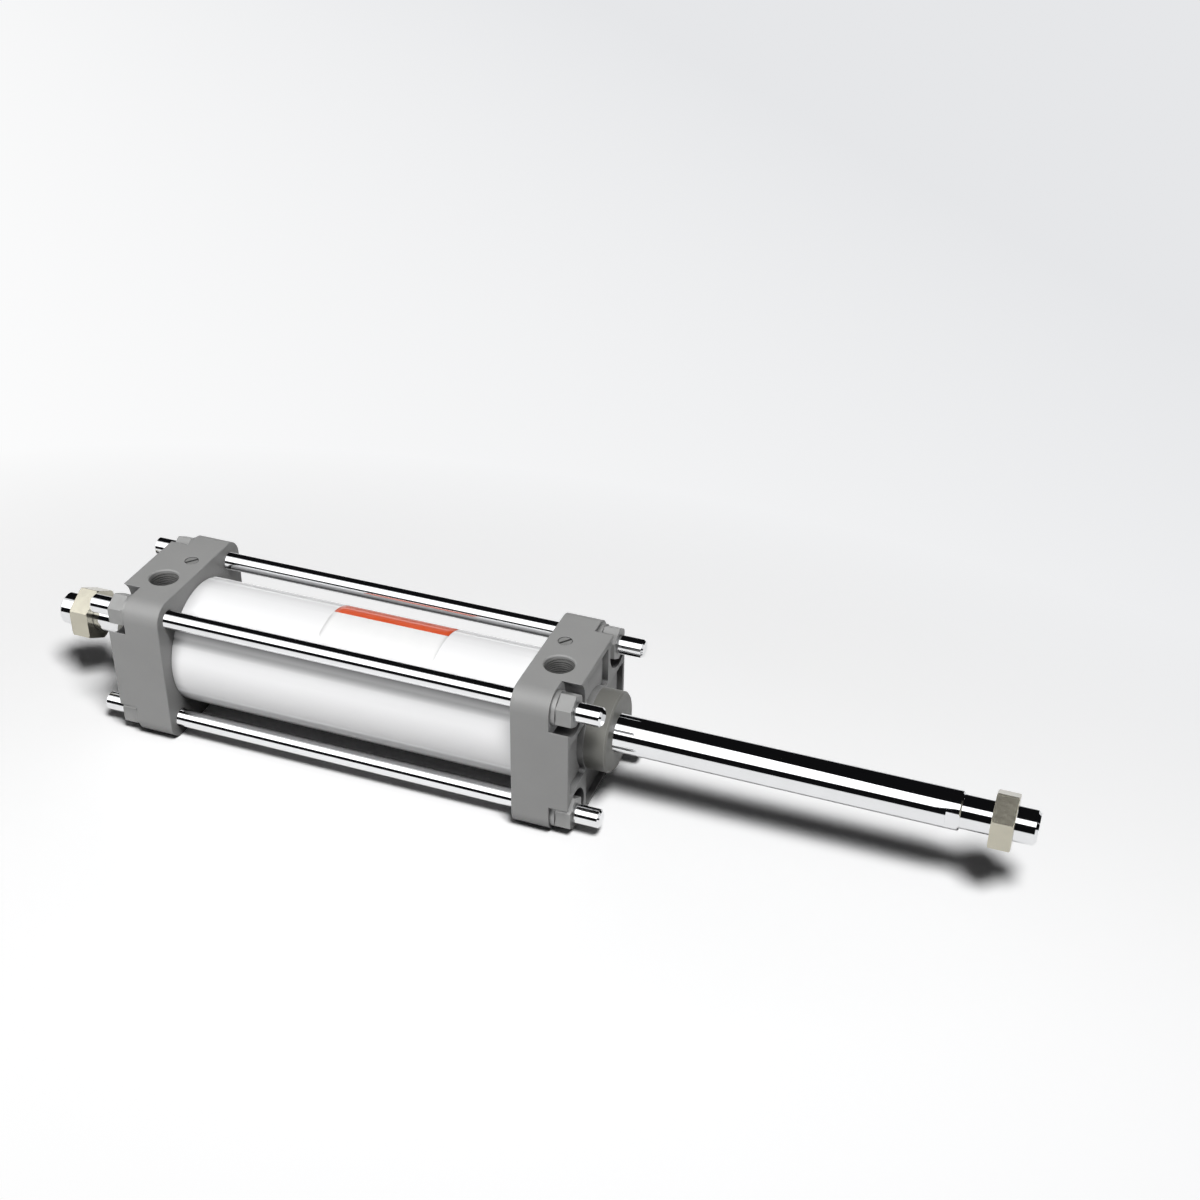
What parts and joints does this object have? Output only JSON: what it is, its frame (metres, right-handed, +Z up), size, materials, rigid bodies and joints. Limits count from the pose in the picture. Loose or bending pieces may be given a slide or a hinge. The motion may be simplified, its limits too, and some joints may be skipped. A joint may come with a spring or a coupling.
{
  "type": "double rod pneumatic cylinder",
  "caption": "Tie rod air cylinder with a piston rod out of each end, square cast covers with nut pockets and a round boss, top air ports and cushion needles.",
  "frame": {"origin": "on the cylinder axis, in the outer mounting face of the front cover, at the root of its boss", "axes": "+X along the cylinder axis, out of the front cover; +Z up, towards the air ports"},
  "size_m": [0.545, 0.085, 0.085],
  "materials": {
    "cover_grey": "satin grey die casting",
    "tube_white": "smooth white coating",
    "rod_chrome": "hard chrome, polished",
    "tie_rod_chrome": "bright plated",
    "tie_nut_steel": "dull zinc plated",
    "rod_nut_steel": "pale nickel plated",
    "needle_steel": "blackened slot, dull head",
    "seal_rubber": "matt black",
    "bush_bronze": "turned",
    "piston_aluminium": "turned",
    "cushion_steel": "turned",
    "wear_ring_plastic": "moulded"
  },
  "bodies": {
    "housing": {"cylinder_tube": "tube_white", "tie_rod_far_top": "tie_rod_chrome", "tie_rod_near_top": "tie_rod_chrome", "tie_rod_far_bottom": "tie_rod_chrome", "tie_rod_near_bottom": "tie_rod_chrome", "front_rod_cover": "cover_grey", "front_tube_gasket": "seal_rubber", "front_rod_bush": "bush_bronze", "front_rod_seal": "seal_rubber", "front_cushion_seal": "seal_rubber", "front_tie_rod_washers": "tie_nut_steel", "front_tie_rod_nuts": "tie_nut_steel", "rear_rod_cover": "cover_grey", "rear_tube_gasket": "seal_rubber", "rear_rod_bush": "bush_bronze", "rear_rod_seal": "seal_rubber", "rear_cushion_seal": "seal_rubber", "rear_tie_rod_washers": "tie_nut_steel", "rear_tie_rod_nuts": "tie_nut_steel"},
    "piston_rods": {"front_piston_rod": "rod_chrome", "rear_piston_rod": "rod_chrome", "piston": "piston_aluminium", "piston_seal": "seal_rubber", "piston_wear_ring": "wear_ring_plastic", "piston_rod_gasket": "seal_rubber", "front_cushion_ring": "cushion_steel", "rear_cushion_ring": "cushion_steel"},
    "front_nut": {"front_rod_nut": "rod_nut_steel"},
    "front_needle": {"front_cushion_needle": "needle_steel", "front_needle_seal": "seal_rubber"},
    "rear_nut": {"rear_rod_nut": "rod_nut_steel"},
    "rear_needle": {"rear_cushion_needle": "needle_steel", "rear_needle_seal": "seal_rubber"}
  },
  "joints": [
    {"name": "rod_slide", "type": "slide", "parent": "housing", "child": "piston_rods", "axis": [1, 0, 0], "range_m": [-0.168, 0]},
    {"name": "front_nut_turn", "type": "hinge", "parent": "piston_rods", "child": "front_nut", "pos_m": [0.2093, 0, 0], "axis": [1, 0, 0], "range_deg": [-180, 180]},
    {"name": "rear_nut_turn", "type": "hinge", "parent": "piston_rods", "child": "rear_nut", "pos_m": [-0.3023, 0, 0], "axis": [-1, 0, 0], "range_deg": [-180, 180]},
    {"name": "front_needle_turn", "type": "hinge", "parent": "housing", "child": "front_needle", "pos_m": [-0.0215, 0.0099, 0.0423], "axis": [0, 0, 1], "range_deg": [-180, 540]},
    {"name": "rear_needle_turn", "type": "hinge", "parent": "housing", "child": "rear_needle", "pos_m": [-0.2395, 0.0099, 0.0423], "axis": [0, 0, 1], "range_deg": [-180, 540]}
  ]
}
